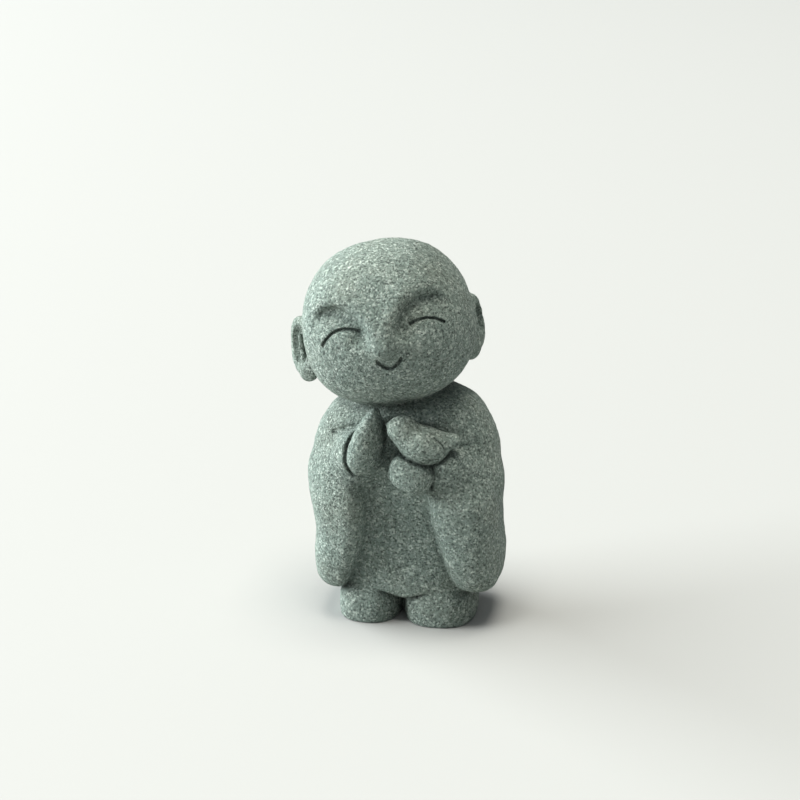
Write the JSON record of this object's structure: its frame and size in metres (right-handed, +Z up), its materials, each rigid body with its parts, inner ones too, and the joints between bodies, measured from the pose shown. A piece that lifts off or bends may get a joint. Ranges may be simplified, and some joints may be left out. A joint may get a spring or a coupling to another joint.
{
  "type": "monk figurine",
  "caption": "Small cast figurine of a child monk in a robe, one hand raised and a bird on the other, standing on its own feet.",
  "frame": {"origin": "centre of the bounding box at the level of the soles", "axes": "+Z up, -Y the way the front of the body faces, +X towards the figure's left hand"},
  "size_m": [0.0464, 0.0362, 0.0802],
  "materials": {
    "stone": "matt cast sand, grey-green with pale and dark grains"
  },
  "bodies": {
    "root": {"monk_figurine": "stone"}
  },
  "joints": []
}
